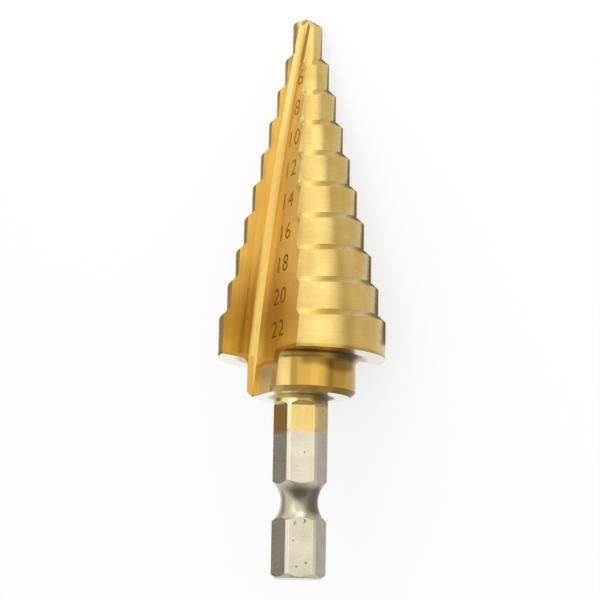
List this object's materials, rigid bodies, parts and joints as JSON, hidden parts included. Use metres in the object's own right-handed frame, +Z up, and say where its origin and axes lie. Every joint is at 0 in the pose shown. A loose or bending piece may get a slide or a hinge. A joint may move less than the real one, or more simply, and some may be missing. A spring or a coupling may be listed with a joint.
{
  "type": "step drill",
  "caption": "Gold-coated conical step drill with two straight flutes, etched step sizes on the flute walls and a grooved hex quick-change shank.",
  "frame": {"origin": "middle of the bounding box on the floor the tool lies on", "axes": "+Z up, +Y along the lying tool towards its tip, +X to the right when seen from the shank end"},
  "size_m": [0.0218, 0.0748, 0.0192],
  "materials": {
    "coated_steel": "gold nitride coating over ground tool steel, fading to bare satin steel on the hex shank"
  },
  "bodies": {
    "root": {"step_drill": "coated_steel"}
  },
  "joints": []
}
